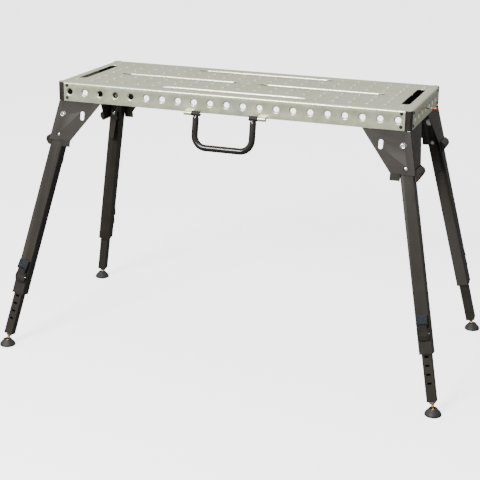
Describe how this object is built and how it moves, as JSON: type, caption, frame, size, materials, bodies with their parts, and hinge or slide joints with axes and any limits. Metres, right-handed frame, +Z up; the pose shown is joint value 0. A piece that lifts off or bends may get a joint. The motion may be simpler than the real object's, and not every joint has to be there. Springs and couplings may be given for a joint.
{
  "type": "folding sawhorse",
  "caption": "Folding steel sawhorse: a perforated zinc work deck on splayed telescoping legs that lock open, latch at set heights, level on screw feet and fold in under the deck.",
  "frame": {"origin": "centre of the bounding box on the floor, under the middle of the deck", "axes": "+X along the deck towards the pull rod, +Y to the back, away from the carry handle, +Z up"},
  "size_m": [1.3956, 0.7232, 0.825],
  "materials": {
    "zinc_sheet": "satin zinc-plated sheet steel",
    "black_paint": "semi-gloss baked black paint",
    "black_plastic": "fine-textured moulded plastic",
    "bright_zinc": "bright zinc plating",
    "yellow_zinc": "yellow zinc plating",
    "rubber": "matt moulded rubber",
    "red_vinyl": "glossy dipped vinyl"
  },
  "bodies": {
    "deck": {"deck_top": "zinc_sheet", "skirt_front": "zinc_sheet", "skirt_back": "zinc_sheet", "skirt_left": "zinc_sheet", "skirt_right": "zinc_sheet", "corner_caps": "black_plastic", "corner_rivets": "black_plastic", "bracket_front_right": "black_paint", "bracket_front_left": "black_paint", "bracket_back_right": "black_paint", "bracket_back_left": "black_paint", "bracket_bumpers": "black_plastic", "pivot_bolts": "bright_zinc", "handle_knuckles": "zinc_sheet", "handle_pins": "bright_zinc", "rod_guide": "bright_zinc"},
    "handle": {"carry_handle": "black_paint", "handle_sleeves": "black_plastic"},
    "rod": {"pull_rod": "bright_zinc", "rod_tip": "red_vinyl"},
    "leg_front_right": {"leg_tube_front_right": "black_paint", "guide_bush_front_right": "black_plastic"},
    "latch_front_right": {"height_latch_front_right": "black_plastic"},
    "lever_front_right": {"lock_lever_front_right": "black_paint"},
    "pin_front_right": {"lock_pin_front_right": "bright_zinc"},
    "lower_front_right": {"inner_tube_front_right": "black_paint", "end_plug_front_right": "black_plastic", "foot_nut_front_right": "yellow_zinc"},
    "screw_front_right": {"foot_screw_front_right": "yellow_zinc"},
    "pad_front_right": {"foot_pad_front_right": "rubber"},
    "leg_front_left": {"leg_tube_front_left": "black_paint", "guide_bush_front_left": "black_plastic"},
    "latch_front_left": {"height_latch_front_left": "black_plastic"},
    "lever_front_left": {"lock_lever_front_left": "black_paint"},
    "pin_front_left": {"lock_pin_front_left": "bright_zinc"},
    "lower_front_left": {"inner_tube_front_left": "black_paint", "end_plug_front_left": "black_plastic", "foot_nut_front_left": "yellow_zinc"},
    "screw_front_left": {"foot_screw_front_left": "yellow_zinc"},
    "pad_front_left": {"foot_pad_front_left": "rubber"},
    "leg_back_right": {"leg_tube_back_right": "black_paint", "guide_bush_back_right": "black_plastic"},
    "latch_back_right": {"height_latch_back_right": "black_plastic"},
    "lever_back_right": {"lock_lever_back_right": "black_paint"},
    "pin_back_right": {"lock_pin_back_right": "bright_zinc"},
    "lower_back_right": {"inner_tube_back_right": "black_paint", "end_plug_back_right": "black_plastic", "foot_nut_back_right": "yellow_zinc"},
    "screw_back_right": {"foot_screw_back_right": "yellow_zinc"},
    "pad_back_right": {"foot_pad_back_right": "rubber"},
    "leg_back_left": {"leg_tube_back_left": "black_paint", "guide_bush_back_left": "black_plastic"},
    "latch_back_left": {"height_latch_back_left": "black_plastic"},
    "lever_back_left": {"lock_lever_back_left": "black_paint"},
    "pin_back_left": {"lock_pin_back_left": "bright_zinc"},
    "lower_back_left": {"inner_tube_back_left": "black_paint", "end_plug_back_left": "black_plastic", "foot_nut_back_left": "yellow_zinc"},
    "screw_back_left": {"foot_screw_back_left": "yellow_zinc"},
    "pad_back_left": {"foot_pad_back_left": "rubber"}
  },
  "joints": [
    {"name": "handle_swing", "type": "hinge", "parent": "deck", "child": "handle", "pos_m": [0, -0.2155, 0.766], "axis": [-1, 0, 0], "range_deg": [0, 150]},
    {"name": "rod_pull", "type": "slide", "parent": "deck", "child": "rod", "axis": [1, 0, 0], "range_m": [0, 0.02], "stiffness_N_per_m": 150},
    {"name": "fold_front_right", "type": "hinge", "parent": "deck", "child": "leg_front_right", "pos_m": [0.52, -0.18716, 0.72057], "axis": [0, 0.9781, -0.2079], "range_deg": [0, 104.1]},
    {"name": "height_front_right", "type": "slide", "parent": "leg_front_right", "child": "lower_front_right", "axis": [0.2079, -0.2034, -0.9568], "range_m": [-0.125, 0]},
    {"name": "latch_front_right_press", "type": "hinge", "parent": "leg_front_right", "child": "latch_front_right", "pos_m": [0.62801, -0.31677, 0.22862], "axis": [-0.9781, -0.0432, -0.2034], "range_deg": [-7, 5], "stiffness_Nm_per_rad": 0.6},
    {"name": "lever_front_right_squeeze", "type": "hinge", "parent": "leg_front_right", "child": "lever_front_right", "pos_m": [0.53705, -0.17889, 0.63682], "axis": [-0.9781, -0.0432, -0.2034], "range_deg": [-9.7, 8], "stiffness_Nm_per_rad": 0.8},
    {"name": "pin_front_right_slide", "type": "slide", "parent": "leg_front_right", "child": "pin_front_right", "axis": [0, 0.9781, -0.2079], "range_m": [-0.0033, 0.0028]},
    {"name": "screw_front_right_turn", "type": "slide", "parent": "lower_front_right", "child": "screw_front_right", "axis": [0.2079, -0.2034, -0.9568], "range_m": [-0.004, 0.012]},
    {"name": "pad_front_right_tilt", "type": "hinge", "parent": "screw_front_right", "child": "pad_front_right", "pos_m": [0.67376, -0.33756, 0.013], "axis": [0.6993, 0.7149, 0], "range_deg": [-5, 5]},
    {"name": "fold_front_left", "type": "hinge", "parent": "deck", "child": "leg_front_left", "pos_m": [-0.52, -0.18716, 0.72057], "axis": [0, -0.9781, 0.2079], "range_deg": [0, 99]},
    {"name": "height_front_left", "type": "slide", "parent": "leg_front_left", "child": "lower_front_left", "axis": [-0.2079, -0.2034, -0.9568], "range_m": [-0.125, 0]},
    {"name": "latch_front_left_press", "type": "hinge", "parent": "leg_front_left", "child": "latch_front_left", "pos_m": [-0.62801, -0.31677, 0.22862], "axis": [-0.9781, 0.0432, 0.2034], "range_deg": [-7, 5], "stiffness_Nm_per_rad": 0.6},
    {"name": "lever_front_left_squeeze", "type": "hinge", "parent": "leg_front_left", "child": "lever_front_left", "pos_m": [-0.53705, -0.17889, 0.63682], "axis": [-0.9781, 0.0432, 0.2034], "range_deg": [-9.7, 8], "stiffness_Nm_per_rad": 0.8},
    {"name": "pin_front_left_slide", "type": "slide", "parent": "leg_front_left", "child": "pin_front_left", "axis": [0, 0.9781, -0.2079], "range_m": [-0.0033, 0.0028]},
    {"name": "screw_front_left_turn", "type": "slide", "parent": "lower_front_left", "child": "screw_front_left", "axis": [-0.2079, -0.2034, -0.9568], "range_m": [-0.004, 0.012]},
    {"name": "pad_front_left_tilt", "type": "hinge", "parent": "screw_front_left", "child": "pad_front_left", "pos_m": [-0.67376, -0.33756, 0.013], "axis": [0.6993, -0.7149, 0], "range_deg": [-5, 5]},
    {"name": "fold_back_right", "type": "hinge", "parent": "deck", "child": "leg_back_right", "pos_m": [0.52, 0.18716, 0.72057], "axis": [0, 0.9781, 0.2079], "range_deg": [0, 104.1]},
    {"name": "height_back_right", "type": "slide", "parent": "leg_back_right", "child": "lower_back_right", "axis": [0.2079, 0.2034, -0.9568], "range_m": [-0.125, 0]},
    {"name": "latch_back_right_press", "type": "hinge", "parent": "leg_back_right", "child": "latch_back_right", "pos_m": [0.62801, 0.31677, 0.22862], "axis": [0.9781, -0.0432, 0.2034], "range_deg": [-7, 5], "stiffness_Nm_per_rad": 0.6},
    {"name": "lever_back_right_squeeze", "type": "hinge", "parent": "leg_back_right", "child": "lever_back_right", "pos_m": [0.53705, 0.17889, 0.63682], "axis": [0.9781, -0.0432, 0.2034], "range_deg": [-9.7, 8], "stiffness_Nm_per_rad": 0.8},
    {"name": "pin_back_right_slide", "type": "slide", "parent": "leg_back_right", "child": "pin_back_right", "axis": [0, -0.9781, -0.2079], "range_m": [-0.0033, 0.0028]},
    {"name": "screw_back_right_turn", "type": "slide", "parent": "lower_back_right", "child": "screw_back_right", "axis": [0.2079, 0.2034, -0.9568], "range_m": [-0.004, 0.012]},
    {"name": "pad_back_right_tilt", "type": "hinge", "parent": "screw_back_right", "child": "pad_back_right", "pos_m": [0.67376, 0.33756, 0.013], "axis": [-0.6993, 0.7149, 0], "range_deg": [-5, 5]},
    {"name": "fold_back_left", "type": "hinge", "parent": "deck", "child": "leg_back_left", "pos_m": [-0.52, 0.18716, 0.72057], "axis": [0, -0.9781, -0.2079], "range_deg": [0, 99]},
    {"name": "height_back_left", "type": "slide", "parent": "leg_back_left", "child": "lower_back_left", "axis": [-0.2079, 0.2034, -0.9568], "range_m": [-0.125, 0]},
    {"name": "latch_back_left_press", "type": "hinge", "parent": "leg_back_left", "child": "latch_back_left", "pos_m": [-0.62801, 0.31677, 0.22862], "axis": [0.9781, 0.0432, -0.2034], "range_deg": [-7, 5], "stiffness_Nm_per_rad": 0.6},
    {"name": "lever_back_left_squeeze", "type": "hinge", "parent": "leg_back_left", "child": "lever_back_left", "pos_m": [-0.53705, 0.17889, 0.63682], "axis": [0.9781, 0.0432, -0.2034], "range_deg": [-9.7, 8], "stiffness_Nm_per_rad": 0.8},
    {"name": "pin_back_left_slide", "type": "slide", "parent": "leg_back_left", "child": "pin_back_left", "axis": [0, -0.9781, -0.2079], "range_m": [-0.0033, 0.0028]},
    {"name": "screw_back_left_turn", "type": "slide", "parent": "lower_back_left", "child": "screw_back_left", "axis": [-0.2079, 0.2034, -0.9568], "range_m": [-0.004, 0.012]},
    {"name": "pad_back_left_tilt", "type": "hinge", "parent": "screw_back_left", "child": "pad_back_left", "pos_m": [-0.67376, 0.33756, 0.013], "axis": [-0.6993, -0.7149, 0], "range_deg": [-5, 5]}
  ],
  "couplings": [
    {"joint": "pin_front_right_slide", "follows": "lever_front_right_squeeze", "m_per_rad": 0.0188},
    {"joint": "pin_front_left_slide", "follows": "lever_front_left_squeeze", "m_per_rad": 0.0188},
    {"joint": "pin_back_right_slide", "follows": "lever_back_right_squeeze", "m_per_rad": 0.0188},
    {"joint": "pin_back_left_slide", "follows": "lever_back_left_squeeze", "m_per_rad": 0.0188}
  ]
}
